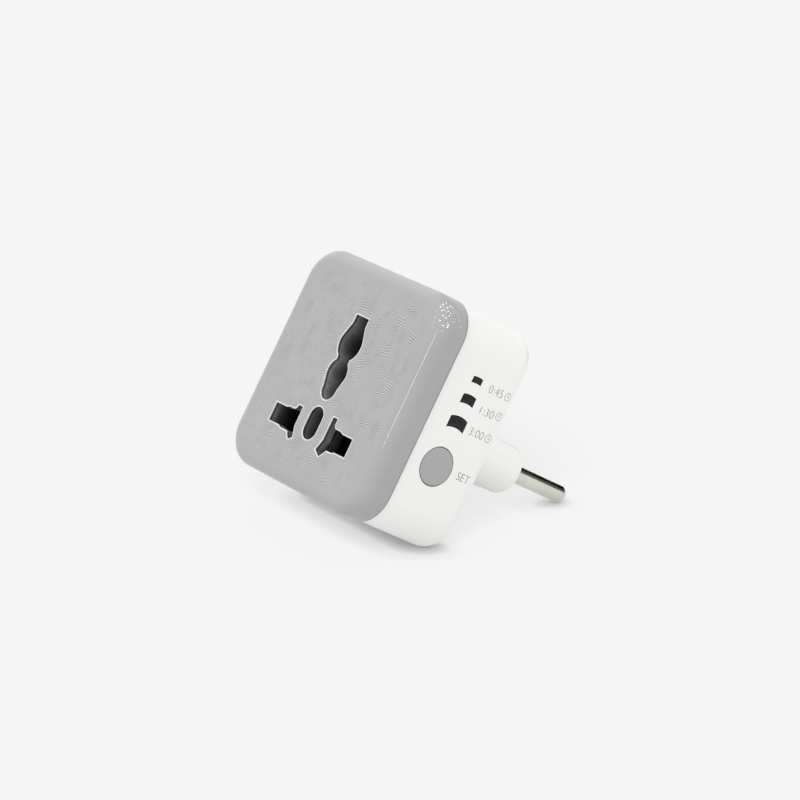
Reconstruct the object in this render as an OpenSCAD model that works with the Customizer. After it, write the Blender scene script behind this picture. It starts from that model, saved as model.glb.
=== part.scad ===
// Plug-in timer switch: a two-pin wall plug with a universal socket on its front and a countdown
// timer inside, set by one button and shown by three lit windows on its right side.
// X runs to the right as seen from the front, Y runs from the socket face towards the wall, Z is up.
// The origin is the middle of the plug's end face, midway between the two pins.

/* [Case] */
// Distance from a side slot's outer end to the side of the case
case_margin = 11.15; // [10.6:0.05:14]
// Corner radius of the front cover, seen from the front
case_corner_r = 8; // [7.5:0.1:9]
// Depth of the front cover
cover_depth = 7.1; // [6.6:0.1:9]
// Rounding of the cover's front edge
cover_edge_r = 3; // [1:0.1:3.5]
// Thickness of the cover's face
face_wall = 2; // [1.6:0.1:2.6]
// Thickness of the cover's side walls
cover_wall = 2; // [1.8:0.1:2.2]
// Depth of the rear housing, from the cover to its back face
housing_depth = 21.6; // [21:0.1:28]
// How far the rear housing stands in from the cover on every side
housing_step = 0.45; // [0.2:0.05:0.6]
// Rounding of the housing's back edge
housing_edge_r = 4; // [1:0.1:5]
// Thickness of the housing's side walls
housing_wall = 1.8; // [1.6:0.1:2]
// Thickness of the housing's back wall
back_wall = 2; // [1.6:0.1:2.4]
// Height of the case's centre above the plug pins
case_rise = 2.6; // [1:0.1:4]

/* [Plug] */
// Radius of a plug pin
pin_r = 2; // [1.9:0.05:2.4]
// Distance between the two pins
pin_pitch = 19; // [18:0.1:19.5]
// Length of a pin outside the plug
pin_length = 19; // [15:0.5:22]
// Width of the plug boss where it leaves the housing
boss_width = 32.4; // [31:0.1:36]
// Height of the plug boss where it leaves the housing
boss_height = 12.4; // [11.8:0.1:14]
// Depth of the plug boss
boss_depth = 17.6; // [14:0.1:20]
// How much the boss narrows towards its end, on every side
boss_taper = 0.4; // [0.1:0.05:0.8]
// Rounding of the boss's end edge
boss_edge_r = 0.8; // [0.4:0.1:1.2]
// Thickness of the boss's side wall
boss_wall = 2; // [1.6:0.1:2.2]
// Thickness of the boss's end wall, which holds the pins
boss_end_wall = 2.4; // [2:0.1:3]

/* [Socket] */
// Height of the live and neutral row below the case's centre
row_drop = 12.5; // [12:0.1:13]
// Top of the earth slot above the row
earth_top = 26.65; // [26:0.05:27]
// Width of the earth slot's straight top
earth_width = 4.6; // [4.2:0.1:5]
// Height of the earth slot's upper round above the row
earth_upper_rise = 20.2; // [19.8:0.05:20.6]
// Height of the earth slot's lower round above the row
earth_lower_rise = 13.4; // [13:0.05:13.8]
// Height of the earth slot's bottom round above the row
earth_end_rise = 9.6; // [9.4:0.05:10]
// Radius of the earth slot's upper round
earth_upper_r = 3.85; // [3.6:0.05:4]
// Radius of the earth slot's lower round
earth_lower_r = 3.4; // [3.2:0.05:3.6]
// Radius of the earth slot's bottom end
earth_end_r = 2.45; // [2.2:0.05:2.6]
// Distance from the middle to the outer end of a side slot
slot_outer = 14.65; // [14.4:0.05:14.9]
// Distance from the middle to the inner edge of a side slot
slot_inner = 5.55; // [5.3:0.05:5.8]
// Height of a side slot at its outer end
slot_height = 4.2; // [4.1:0.05:4.5]
// Radius of the round pin's place in a side slot
slot_round_r = 2.45; // [2.3:0.05:2.6]
// Width of the flat blade's place in a side slot
blade_width = 1.65; // [1.5:0.05:1.9]
// Height of the wide blade's top above the row
wide_blade_top = 4.6; // [4.2:0.1:4.8]
// Height of the narrow blade's top above the row
narrow_blade_top = 3.65; // [3.2:0.05:4]
// Width of the middle hole
middle_width = 4.6; // [4.3:0.1:4.8]
// Height of the middle hole
middle_height = 7.6; // [6.5:0.1:8]

/* [Timer side] */
// Distance from the housing's front edge back to the column of windows and the button
controls_back = 8.1; // [7.8:0.1:12]
// Window widths, heights and heights above the case's centre, from the top one down
windows = [[2.6, 1.35, 12.3], [3.65, 2.05, 7.85], [4.7, 2.65, 2.5]];
// Radius of the windows' bowed top and bottom edges
window_bow_r = 6.5; // [5:0.5:12]
// Height of the button below the case's centre
button_drop = 8; // [7:0.1:8.5]
// Radius of the button
button_r = 4.25; // [3.6:0.05:4.6]
// Gap around the button
button_gap = 0.2; // [0.1:0.05:0.3]
// How far the button stands out of the side
button_proud = 0.15; // [0:0.05:0.5]
// How far the button travels
button_travel = 0.4; // [0.2:0.05:0.45]

/* [Inside] */
// Thickness of the circuit boards
board_thickness = 1.2; // [0.8:0.1:1.6]
// Radius of the housing's screw posts
post_r = 3.4; // [3.2:0.05:3.5]
// Radius of a screw's shank
screw_r = 1.28; // [1.1:0.02:1.3]
// Length of a screw under its head
screw_length = 14; // [12:0.5:15]
// Thickness of the contacts' sheet brass
brass = 0.5; // [0.4:0.05:0.6]
// Height of the relay above its board
relay_height = 15.4; // [12:0.1:16]

/* [Hidden] */
$fn = 64;
hull_fn = 48;
edge_steps = 8;
cut = 0.5; // how far a cutting shape runs past the face it cuts
fit = 0.1; // gap between pieces that are pushed together
loose = 0.4; // gap between pieces that only pass each other
seam_gap = 0.3; // shadow gap in the housing's front edge
skin = 0.8; // what is left of the face in front of the carrier

case_size = 2 * (slot_outer + case_margin);
case_z = case_rise;
row_z = case_z - row_drop;
housing_back = -boss_depth;
cover_back = housing_back - housing_depth;
cover_front = cover_back - cover_depth;
face_inside = cover_front + face_wall;
back_inside = housing_back - back_wall;
side_outside = case_size / 2 - housing_step;
side_inside = side_outside - housing_wall;

// Tongue of the housing inside the cover
tongue_inset = cover_wall + fit;
tongue_wall = 1.15;
tongue_reach = 2.3;
tongue_root = 2;

// Main board, standing across the back of the housing on four pads
board_pad_h = 1.6;
board_back = back_inside - board_pad_h;
board_front = board_back - board_thickness;
board_margin = 0.65;
pad_r = 1.6;
pad_margin = 3.15;
pad_offset = side_inside - pad_margin;

// Socket carrier, between the cover's face and the main board
carrier_front = cover_front + skin;
carrier_plate = 1.4;
cap_thickness = 1.2;
carrier_wall = 1.35;
carrier_half_w = slot_outer + carrier_wall;
carrier_half_h = 6.1;
carrier_low = row_z - carrier_half_h;
carrier_step = row_z + carrier_half_h;
tower_wall = 2.15;
tower_half_w = earth_upper_r + tower_wall;
tower_top = row_z + earth_top + tower_wall - 0.3;
cap_front = board_front - cap_thickness;
earth_stop = 1;
middle_stop = 1.2;
middle_rise = 1.5;
cell_low = 4.7;
cell_high = 4.9;
cell_in = slot_inner - 1.35;
cell_mid = slot_inner + 3.25;
cell_out = slot_outer + 0.1;

// Screws and their posts
post_inset = 1.55;
post_offset = side_inside - post_r - post_inset;
post_clear = 0.6;
cover_post_r = post_r - 0.2;
post_split = cover_back + 0.9;
pilot_r = screw_r + 0.02;
shank_hole_r = screw_r + 0.17;
head_r = 2.3;
head_h = 1.7;
head_hole_r = head_r + 0.25;
screw_tip = face_inside + 2.2;
head_seat = screw_tip + screw_length;

// Column of windows and button on the right side
controls_y = cover_back + controls_back;
button_z = case_z - button_drop;
button_flange_r = button_r + 0.75;
button_flange = 0.85;
button_rest_gap = 0.1;
button_edge = 0.35;
button_skin = 1.2;
stem_r = 1.6;
button_outside = side_outside + button_proud;
flange_out = side_inside - button_rest_gap;
flange_in = flange_out - button_flange;
stem_tip = flange_in - 0.2;

// Push switch under the button, on the side board
plunger_r = 1.75;
plunger_flange_r = 2.4;
plunger_flange = 0.5;
switch_size = 6;
switch_h = 3.3;
switch_floor = 0.8;
switch_roof = 0.7;
switch_pocket_r = plunger_flange_r + 0.2;
switch_lift = button_travel + 0.1;
side_board_out = stem_tip - switch_lift - switch_h;
side_board_in = side_board_out - board_thickness;
dome_r = 2.4;
dome_h = 0.4;
dome_thickness = 0.12;

// Side board and what it carries
side_board_front = cover_back - 2;
side_board_half = post_offset - post_r - post_clear;
side_board_low = case_z - side_board_half;
side_board_high = case_z + side_board_half;
tongue_width = 4;
tongue_inset_z = 5.6;
tongue_spots = [side_board_low + tongue_inset_z, side_board_high - tongue_inset_z - tongue_width];
chip_rise = 5.5;
chip_row_rise = 11.5;
chip_row_pitch = 2;
tongue_past = 0.5;
lamp_size = [0.9, 2, 1.25];
lens_plate = 1.1;
lens_recess = 0.35;
lens_margin = 1.1;
cell_margin = 0.3;
lens_in = side_inside - lens_plate;
lens_bottom = case_z + windows[2][2] - windows[2][1] / 2 - lens_margin;
lens_top = case_z + windows[0][2] + windows[0][1] / 2 + lens_margin;
lens_half_w = windows[2][0] / 2 + lens_margin;

// Plug pins and their leads
pin_x = pin_pitch / 2;
pin_tip_r = 1.2;
shank_r = pin_r - 0.4;
pin_ring = 0.1;
pin_ring_depth = 0.3;
collar_r = pin_r + 1.1;
collar_h = 1.2;
tail_r = 1.3;
tail_h = 5.4;
lead_r = 1;
wire_r = 0.45;
wire_gap = 0.07;
tail_end = -boss_end_wall - collar_h - tail_h;

// Contacts in the carrier
web_thickness = 0.7;
web_front = cap_front - web_thickness;
pinch_depth = 6.5;
pinch_y = carrier_front + pinch_depth;
mouth_y = carrier_front + carrier_plate + 0.9;
leaf_in = slot_inner + 2.6;
leaf_out = slot_outer - 0.4;
side_leaf_x = slot_inner - 1;
side_leaf_lean = 0.4;
grip_half = pin_r + 0.1;
mouth_half = grip_half + 0.5;
root_half = grip_half + 0.4;
leaf_half = mouth_half + brass + 0.2;
tab_x = 10;
tab_width = 2;
tab_past = 0.8;

// Relay, on the left half of the main board
tower_gap = 1;
relay_gap = 1.55;
relay_ends = 1.3;
relay_w = side_inside - relay_gap - tower_half_w - tower_gap;
relay_x = -tower_half_w - tower_gap - relay_w / 2;
relay_low = carrier_step + relay_ends;
relay_high = case_z + post_offset - post_r - relay_ends;
relay_top = board_front - relay_height;
relay_skin = 0.8;
relay_floor = 1.2;
relay_base_front = board_front - relay_floor;
relay_play = 0.3;
yoke_thickness = 1;
yoke_half_w = 4.6;
yoke_low = relay_low + relay_skin + relay_play;
yoke_hinge = yoke_low + yoke_thickness;
coil_x = relay_x;
coil_rise = 4.1;
coil_z = yoke_hinge + coil_rise;
coil_r = 3.9;
core_r = 1.8;
pole_r = 2.5;
bobbin_r = 2.3;
flange_t = 0.8;
yoke_top = relay_top + 2.4;
pole_gap = 0.4;
armature_t = 0.9;
armature_half_w = 4.2;
armature_past = 3;
arm_t = 0.2;
arm_half_w = 1.6;
contact_r = 1.3;
contact_margin = 1.4;
contact_inset = 3.6;
contact_z = relay_high - contact_inset;
contact_gap = 0.78;
contact_post = 0.4;
relay_pin_x = 3.2;
relay_pin_inset = 2;

// Loose parts of the supply
part_gap = 0.5;
bridge_size = [3.8, 2.4, 4.7];
bridge_shift = 2.6;
film_size = [6, 12, 12];
film_x = tower_half_w + tower_gap + film_size[0] / 2;
bridge_x = film_x + bridge_shift;
bridge_z = carrier_step + part_gap + bridge_size[2] / 2;
film_z = bridge_z + bridge_size[2] / 2 + part_gap + film_size[2] / 2;
can_r = 3.5;
can_h = 12;
can_x = tower_half_w + part_gap + can_r;
can_z = case_z + side_inside - 4 * part_gap - can_r;
fuse_r = 1.6;
fuse_half = 5;
fuse_z = (carrier_low + case_z - side_inside) / 2;
fuse_y = board_front - 3;
film_lead = 5;
can_lead = 1.25;
fuse_lead = fuse_half + 2;
varistor_lead = 2;
varistor_r = 3.2;
varistor_t = 3.4;
varistor_x = -tower_half_w - part_gap - varistor_r;
varistor_z = relay_high + 2 * part_gap + varistor_r;

// ---- Helpers: shapes placed along Y or X ----

// A flat outline drawn in X and Z, given thickness from y0 to y1
module slab(y0, y1) {
    translate([0, y1, 0]) rotate([90, 0, 0]) linear_extrude(y1 - y0) children();
}

// A flat outline drawn in Y and Z, given thickness from x0 to x1
module side_slab(x0, x1) {
    translate([x0, 0, 0]) rotate([90, 0, 90]) linear_extrude(x1 - x0) children();
}

// A round rod along Y from y0 to y1
module rod(r, y0, y1) {
    translate([0, y0, 0]) rotate([-90, 0, 0]) cylinder(h = y1 - y0, r = r);
}

// A round rod along X from x0 to x1
module cross_rod(r, x0, x1) {
    translate([x0, 0, 0]) rotate([0, 90, 0]) cylinder(h = x1 - x0, r = r);
}

// A box from one corner to the opposite one
module block(low, high) {
    translate(low) cube(high - low);
}

module rounded_square(w, h, r) {
    square([w - 2 * r, h], center = true);
    square([w, h - 2 * r], center = true);
    for (x = [-1, 1], z = [-1, 1]) translate([x * (w / 2 - r), z * (h / 2 - r)]) circle(r);
}

// Outline of the case, a given distance inside the cover's outline
module case_outline(inset) {
    size = case_size - 2 * inset;
    translate([0, case_z]) rounded_square(size, size, case_corner_r - inset);
}

module stadium(half_w, half_h) {
    square([2 * (half_w - half_h), 2 * half_h], center = true);
    for (x = [-1, 1]) translate([x * (half_w - half_h), 0]) circle(half_h);
}

// Puts copies at the four screw posts
module at_posts() {
    for (x = [-1, 1], z = [-1, 1]) translate([x * post_offset, 0, case_z + z * post_offset]) children();
}

// A round coin that narrows from r to r - taper over its height, with a rounded top edge
module soft_coin(r, h, edge, taper = 0) {
    top_r = r - taper;
    arc = [for (i = [0:edge_steps]) let (a = 90 * i / edge_steps)
        [top_r - edge + edge * cos(a), h - edge + edge * sin(a)]];
    rotate_extrude($fn = hull_fn) polygon(concat([[0, 0], [r, 0]], arc, [[0, h]]));
}

// A square block with rounded corners and one rounded edge, standing on its sharp-edged face
module soft_block(size, r, h, edge) {
    hull() for (x = [-1, 1], y = [-1, 1])
        translate([x * (size / 2 - r), y * (size / 2 - r), 0]) soft_coin(r, h, edge);
}

// ---- Outlines ----

// Earth slot, drawn from the row: a straight top over two rounds and a narrow end
module earth_slot() {
    upper = earth_upper_rise;
    lower = earth_lower_rise;
    foot = earth_end_rise;
    flare = earth_top - 1.95;
    half = earth_width / 2;
    neck = [2 * half - 0.3, 2.4];
    translate([-half, upper]) square([earth_width, earth_top - upper]);
    polygon([[-half, flare], [half, flare], [earth_upper_r - 0.25, upper + 1.3],
        [-earth_upper_r + 0.25, upper + 1.3]]);
    translate([0, upper]) circle(earth_upper_r);
    translate([0, (upper + lower) / 2]) square(neck, center = true);
    translate([0, lower]) circle(earth_lower_r);
    polygon([[-earth_lower_r + 0.1, lower - 0.7], [earth_lower_r - 0.1, lower - 0.7],
        [earth_end_r, foot + 0.3], [-earth_end_r, foot + 0.3]]);
    translate([0, foot]) circle(earth_end_r);
    translate([-earth_end_r, foot]) square([2 * earth_end_r, 1]);
}

// Side slot, drawn from the row's middle, for the side where X is positive
module side_slot(blade_top, foot_width) {
    half = slot_height / 2;
    lean = 28; // lean of the slanted blade's foot
    outer = slot_inner + blade_width;
    heel = [slot_inner - 1, -3.3];
    toe = heel + foot_width * [cos(lean), -sin(lean)];
    translate([slot_inner, -half]) square([slot_outer - slot_inner, slot_height]);
    translate([slot_inner, -slot_round_r]) square([pin_pitch / 2 - slot_inner, 2 * slot_round_r]);
    translate([pin_pitch / 2, 0]) circle(slot_round_r);
    translate([slot_inner, 0]) square([blade_width, blade_top]);
    polygon([[outer - 0.1, slot_round_r - 0.2], [outer - 0.1, slot_round_r + 0.9],
        [outer + 0.3, slot_round_r + 0.35], [outer + 1, slot_round_r - 0.2]]);
    polygon([[slot_inner, -0.8], heel, toe, toe + [0.7, 0.68], toe + [1.25, 1.43],
        toe + [1.85, 1.9], [outer + 1, -0.8]]);
}

// Middle hole, drawn from the row
module middle_hole(grow = 0) {
    translate([0, middle_rise]) rotate(90) stadium(middle_height / 2 + grow, middle_width / 2 + grow);
}

module wide_slot() side_slot(wide_blade_top, 2.2);
module narrow_slot() mirror([1, 0]) side_slot(narrow_blade_top, 1.4);

module socket_openings() {
    translate([0, row_z]) {
        earth_slot();
        middle_hole();
        wide_slot();
        narrow_slot();
    }
}

// Outline of the carrier in X and Z: a wide block below and a narrow tower above
module carrier_outline(grow = 0) {
    difference() {
        union() {
            translate([-carrier_half_w - grow, carrier_low - grow])
                square([2 * (carrier_half_w + grow), carrier_step - carrier_low + 2 * grow]);
            translate([-tower_half_w - grow, carrier_step - cut])
                square([2 * (tower_half_w + grow), tower_top - carrier_step + cut + grow]);
        }
        for (x = [-1, 1]) translate([x * post_offset, case_z - post_offset]) circle(post_r + loose - grow);
    }
}

// A window with a bowed top and bottom, drawn about its own middle
module window_outline(size, inset = 0) {
    half_h = size[1] / 2 - inset;
    intersection() {
        translate([-size[0] / 2 + inset, -size[1]]) square([size[0] - 2 * inset, 2 * size[1]]);
        difference() {
            translate([0, half_h - window_bow_r]) circle(window_bow_r);
            translate([0, -half_h - window_bow_r]) circle(window_bow_r);
        }
    }
}

// ---- Case ----

module front_cover() {
    color("#b0b0ae") difference() {
        union() {
            difference() {
                translate([0, cover_back, case_z]) rotate([90, 0, 0])
                    soft_block(case_size, case_corner_r, cover_depth, cover_edge_r);
                slab(face_inside, cover_back + cut) case_outline(cover_wall);
            }
            at_posts() rod(cover_post_r, face_inside - cut, post_split);
        }
        slab(cover_front - cut, face_inside + cut) socket_openings();
        slab(carrier_front, face_inside + cut) carrier_outline(fit);
        at_posts() rod(pilot_r, face_inside + 1, post_split + cut);
    }
}

module housing_shell() {
    difference() {
        translate([0, cover_back, case_z]) rotate([-90, 0, 0])
            soft_block(2 * side_outside, case_corner_r - housing_step, housing_depth, housing_edge_r);
        slab(cover_back - cut, back_inside) case_outline(housing_step + housing_wall);
        slab(cover_back - cut, cover_back + seam_gap) difference() {
            case_outline(0);
            case_outline(housing_step + seam_gap);
        }
    }
}

module housing_boss() {
    r = boss_height / 2;
    translate([0, housing_back - back_wall / 2, 0]) rotate([-90, 0, 0]) hull() for (x = [-1, 1])
        translate([x * (boss_width / 2 - r), 0, 0])
            soft_coin(r, boss_depth + back_wall / 2, boss_edge_r, boss_taper);
}

module rear_housing() {
    color("#f0f0ee") difference() {
        union() {
            housing_shell();
            housing_boss();
            slab(cover_back - tongue_reach, cover_back + tongue_root) difference() {
                case_outline(tongue_inset);
                case_outline(tongue_inset + tongue_wall);
            }
            at_posts() rod(post_r, post_split, back_inside + cut);
            for (x = [-1, 1]) translate([x * pad_offset, 0, case_z]) rod(pad_r, board_back, back_inside + cut);
            for (z = [-1, 1]) translate([0, 0, case_z + z * pad_offset])
                rod(pad_r, board_back, back_inside + cut);
        }
        slab(back_inside - cut, -boss_end_wall)
            stadium(boss_width / 2 - boss_taper - boss_wall, boss_height / 2 - boss_taper - boss_wall);
        for (x = [-pin_x, pin_x]) translate([x, 0, 0]) {
            rod(shank_r + 0.02, -boss_end_wall - cut, cut);
            rod(pin_r + pin_ring, -pin_ring_depth, cut);
        }
        at_posts() {
            rod(shank_hole_r, post_split - cut, head_seat + cut);
            rod(head_hole_r, head_seat, housing_back + cut);
        }
        translate([0, controls_y, button_z])
            cross_rod(button_r + button_gap, side_inside - cut, side_outside + cut);
        for (w = windows) side_slab(side_inside - cut, side_outside + cut)
            translate([controls_y, case_z + w[2]]) window_outline(w);
    }
}

module case_screws() {
    slot = [2.6, 1.2, 0.5];
    color("#8f9194") at_posts() difference() {
        union() {
            rod(screw_r, screw_tip, head_seat + 0.1);
            rod(head_r, head_seat, head_seat + head_h);
        }
        for (turn = [0, 90]) translate([0, head_seat + head_h, 0]) rotate([0, turn, 0])
            cube(slot, center = true);
    }
}

// ---- Plug pins ----

module plug_pin(x) {
    tip = pin_length - pin_tip_r;
    tip_arc = [for (i = [0:edge_steps]) let (a = 90 * i / edge_steps)
        [pin_r - pin_tip_r * (1 - cos(a)), tip + pin_tip_r * sin(a)]];
    color("#c9c8bc") translate([x, 0, 0]) {
        rotate([-90, 0, 0]) rotate_extrude()
            polygon(concat([[0, 0], [pin_r, 0]], tip_arc, [[0, pin_length]]));
        rod(shank_r, -boss_end_wall - cut, cut);
        rod(collar_r, -boss_end_wall - collar_h, -boss_end_wall);
        rod(tail_r, tail_end, -boss_end_wall - cut);
    }
}

module plug_lead(x) {
    translate([x, 0, 0]) {
        rod(lead_r, board_back + 0.05, tail_end);
        rod(wire_r, board_front, board_back + cut);
    }
}

module live_pin() plug_pin(pin_x);
module neutral_pin() plug_pin(-pin_x);
module live_lead() color("#7a4a2a") plug_lead(pin_x);
module neutral_lead() color("#2f6fb0") plug_lead(-pin_x);

// ---- Socket ----

module socket_carrier() {
    color("#3a3a3c") difference() {
        union() {
            slab(carrier_front, cap_front) carrier_outline();
            slab(cap_front - cut, board_front) intersection() {
                carrier_outline();
                translate([-tower_half_w, carrier_step]) square([2 * tower_half_w, tower_top - carrier_step]);
            }
        }
        slab(carrier_front - cut, board_front - earth_stop) translate([0, row_z]) earth_slot();
        slab(carrier_front - cut, cap_front - middle_stop) translate([0, row_z]) middle_hole();
        slab(carrier_front - cut, carrier_front + carrier_plate + cut) translate([0, row_z]) {
            wide_slot();
            narrow_slot();
        }
        for (side = [0, 1]) mirror([side, 0, 0]) slab(carrier_front + carrier_plate, cap_front + cut)
            translate([0, row_z]) {
                translate([cell_in, -cell_low]) square([cell_mid - cell_in, cell_low + cell_high]);
                translate([cell_in, -leaf_half]) square([cell_out - cell_in, 2 * leaf_half]);
            }
    }
}

module carrier_cap() {
    color("#d8d3c4") difference() {
        slab(cap_front, board_front) intersection() {
            carrier_outline();
            translate([-carrier_half_w, carrier_low])
                square([2 * carrier_half_w, carrier_step - carrier_low - fit]);
        }
        for (x = [-tab_x, tab_x]) translate([x, 0, row_z]) tab_slot(cap_front, board_front);
    }
}

// The hole that a contact's solder tab passes through
module tab_slot(y0, y1) {
    slab(y0 - cut, y1 + cut) square([tab_width + 2 * fit, 2 * brass + 2 * fit], center = true);
}

// Contact for the side where X is positive: two leaves above and below the pin, one beside it
module socket_contact() {
    root_y = web_front + web_thickness / 2;
    lean_x = side_leaf_x + side_leaf_lean;
    color("#d6b25e") translate([0, 0, row_z]) {
        slab(web_front, cap_front) translate([side_leaf_x, -root_half - brass])
            square([leaf_out - side_leaf_x, 2 * (root_half + brass)]);
        for (side = [0, 1]) mirror([0, 0, side]) side_slab(leaf_in, leaf_out)
            polygon([[root_y, root_half], [pinch_y, grip_half], [mouth_y, mouth_half],
                [mouth_y, mouth_half + brass], [pinch_y, grip_half + brass],
                [root_y, root_half + brass]]);
        translate([0, 0, -root_half]) linear_extrude(2 * root_half)
            polygon([[side_leaf_x, root_y], [lean_x, pinch_y], [side_leaf_x, mouth_y],
                [side_leaf_x + brass, mouth_y], [lean_x + brass, pinch_y], [side_leaf_x + brass, root_y]]);
        slab(root_y, board_back + tab_past) translate([tab_x, 0])
            square([tab_width, 2 * brass], center = true);
    }
}

module live_contact() socket_contact();
module neutral_contact() mirror([1, 0, 0]) socket_contact();

// ---- Boards ----

module main_board() {
    color("#2e6b45") difference() {
        slab(board_front, board_back) case_outline(housing_step + housing_wall + board_margin);
        at_posts() rod(post_r + loose, board_front - cut, board_back + cut);
        for (x = [-tab_x, tab_x]) translate([x, 0, row_z]) tab_slot(board_front, board_back);
        for (x = [-pin_x, pin_x]) translate([x, 0, 0])
            rod(wire_r + wire_gap, board_front - cut, board_back + cut);
        for (z = tongue_spots) slab(board_front - cut, board_back + cut)
            translate([side_board_in - fit, z - fit])
                square([board_thickness + 2 * fit, tongue_width + 2 * fit]);
        at_relay_pins() rod(wire_r + wire_gap, board_front - cut, board_back + cut);
        at_leads() rod(wire_r + wire_gap, board_front - cut, board_back + cut);
    }
}

// Places of the leads of the parts that stand on the main board
module at_leads() {
    for (z = [-film_lead, film_lead]) translate([film_x, 0, film_z + z]) children();
    for (x = [-can_lead, can_lead]) translate([can_x + x, 0, can_z]) children();
    for (x = [-fuse_lead, fuse_lead]) translate([x, 0, fuse_z]) children();
    for (x = [-varistor_lead, varistor_lead]) translate([varistor_x + x, 0, varistor_z]) children();
}

module side_board() {
    color("#2e6b45") side_slab(side_board_in, side_board_out) {
        translate([side_board_front, side_board_low])
            square([board_front - side_board_front, side_board_high - side_board_low]);
        for (z = tongue_spots) translate([board_front - cut, z])
            square([board_thickness + cut + tongue_past, tongue_width]);
    }
}

module timer_chip() {
    length = 4.9;
    width = 3.9;
    pitch = 1.27;
    middle = [side_board_in, controls_y, case_z + chip_rise];
    color("#2b2b2d") translate(middle) {
        block([-1.6, -length / 2, -width / 2], [-0.15, length / 2, width / 2]);
        for (i = [0:3], side = [-1, 1]) translate([0, (i - 1.5) * pitch, side * (width / 2 + 0.5)])
            block([-0.9, -0.2, -0.6], [0, 0.2, 0.6]);
    }
}

module chip_resistors() {
    size = [0.5, 0.8, 1.6];
    color("#25272b") for (i = [0:3])
        translate([side_board_in, controls_y + (i - 1.5) * chip_row_pitch, case_z + chip_row_rise])
            block([-size[0], -size[1] / 2, -size[2] / 2], [0, size[1] / 2, size[2] / 2]);
}

module indicator_lamps() {
    color("#f2ead0") for (w = windows) translate([side_board_out, controls_y, case_z + w[2]])
        block([0, -lamp_size[1] / 2, -lamp_size[2] / 2], [lamp_size[0], lamp_size[1] / 2, lamp_size[2] / 2]);
}

// ---- Windows and button ----

module light_shield() {
    color("#e9e9e4") side_slab(side_board_out, lens_in - fit / 2) difference() {
        translate([controls_y - lens_half_w, lens_bottom])
            square([2 * lens_half_w, lens_top - lens_bottom]);
        for (w = windows) translate([controls_y, case_z + w[2]])
            square([w[0] + cell_margin, w[1] + 2 * cell_margin], center = true);
    }
}

module window_lens() {
    color("#2a2a2c") {
        side_slab(lens_in, side_inside)
            translate([controls_y - lens_half_w, lens_bottom])
                square([2 * lens_half_w, lens_top - lens_bottom]);
        for (w = windows) side_slab(side_inside - 0.1, side_outside - lens_recess)
            translate([controls_y, case_z + w[2]]) window_outline(w, fit);
    }
}

module set_button() {
    out = button_outside - flange_in;
    arc = [for (i = [0:edge_steps]) let (a = 90 * i / edge_steps)
        [button_r - button_edge + button_edge * cos(a), out - button_edge + button_edge * sin(a)]];
    profile = concat([[0, stem_tip - flange_in], [stem_r, stem_tip - flange_in],
        [stem_r, out - button_skin], [button_r - 1, out - button_skin], [button_r - 1, 0],
        [button_flange_r, 0], [button_flange_r, button_flange], [button_r, button_flange]],
        arc, [[0, out]]);
    color("#acacaa") translate([flange_in, controls_y, button_z]) rotate([0, 90, 0])
        rotate_extrude() polygon(profile);
}

module switch_body() {
    half = switch_size / 2;
    roof = switch_h - switch_roof;
    color("#26262a") translate([side_board_out, controls_y, button_z]) difference() {
        block([0, -half, -half], [switch_h, half, half]);
        cross_rod(switch_pocket_r, switch_floor, roof);
        cross_rod(plunger_r + 0.05, roof - cut, switch_h + cut);
    }
}

module switch_dome() {
    rise = [for (i = [0:edge_steps]) let (x = dome_r * (1 - i / edge_steps))
        [x, dome_h * (1 - pow(x / dome_r, 2))]];
    under = [for (p = rise) [p[0] * 0.96, p[1] - dome_thickness * p[1] / dome_h]];
    color("#c8cacc") translate([side_board_out + switch_floor, controls_y, button_z]) rotate([0, 90, 0])
        rotate_extrude() polygon(concat(rise, [for (i = [edge_steps:-1:0]) under[i]]));
}

module switch_plunger() {
    flange = side_board_out + switch_h - switch_roof - 0.05;
    nose = side_board_out + switch_floor + dome_h + button_travel + 0.03;
    color("#e8dcb0") translate([0, controls_y, button_z]) {
        cross_rod(plunger_r, flange - plunger_flange, stem_tip);
        cross_rod(plunger_flange_r, flange - plunger_flange, flange);
        cross_rod(1, nose, flange - plunger_flange / 2);
    }
}

// ---- Relay ----

module relay_case() {
    half = relay_w / 2;
    color("#2b55a8") difference() {
        block([relay_x - half, relay_top, relay_low], [relay_x + half, board_front, relay_high]);
        block([relay_x - half + relay_skin, relay_top + relay_skin, relay_low + relay_skin],
            [relay_x + half - relay_skin, board_front + cut, relay_high - relay_skin]);
    }
}

module relay_base() {
    half = relay_w / 2 - relay_skin - fit / 2;
    color("#303034") difference() {
        block([relay_x - half, relay_base_front, relay_low + relay_skin + fit / 2],
            [relay_x + half, board_front, relay_high - relay_skin - fit / 2]);
        at_relay_pins() rod(wire_r + wire_gap / 2, relay_base_front - cut, board_front + cut);
    }
}

module at_relay_pins() {
    for (x = [-relay_pin_x, relay_pin_x], z = [relay_low + relay_pin_inset, relay_high - relay_pin_inset])
        translate([relay_x + x, 0, z]) children();
}

module relay_terminals() {
    color("#c2a15a") at_relay_pins() rod(wire_r, relay_base_front, board_back + tab_past);
}

module relay_yoke() {
    foot = relay_base_front - yoke_thickness;
    foot_end = coil_z + coil_r - part_gap;
    color("#9a9c9f") difference() {
        side_slab(coil_x - yoke_half_w, coil_x + yoke_half_w) polygon([[relay_base_front, yoke_low],
            [relay_base_front, foot_end], [foot, foot_end], [foot, yoke_hinge], [yoke_top, yoke_hinge],
            [yoke_top, yoke_low]]);
        translate([coil_x, 0, coil_z]) rod(core_r - 0.38, foot - cut, relay_base_front + cut);
    }
}

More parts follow.
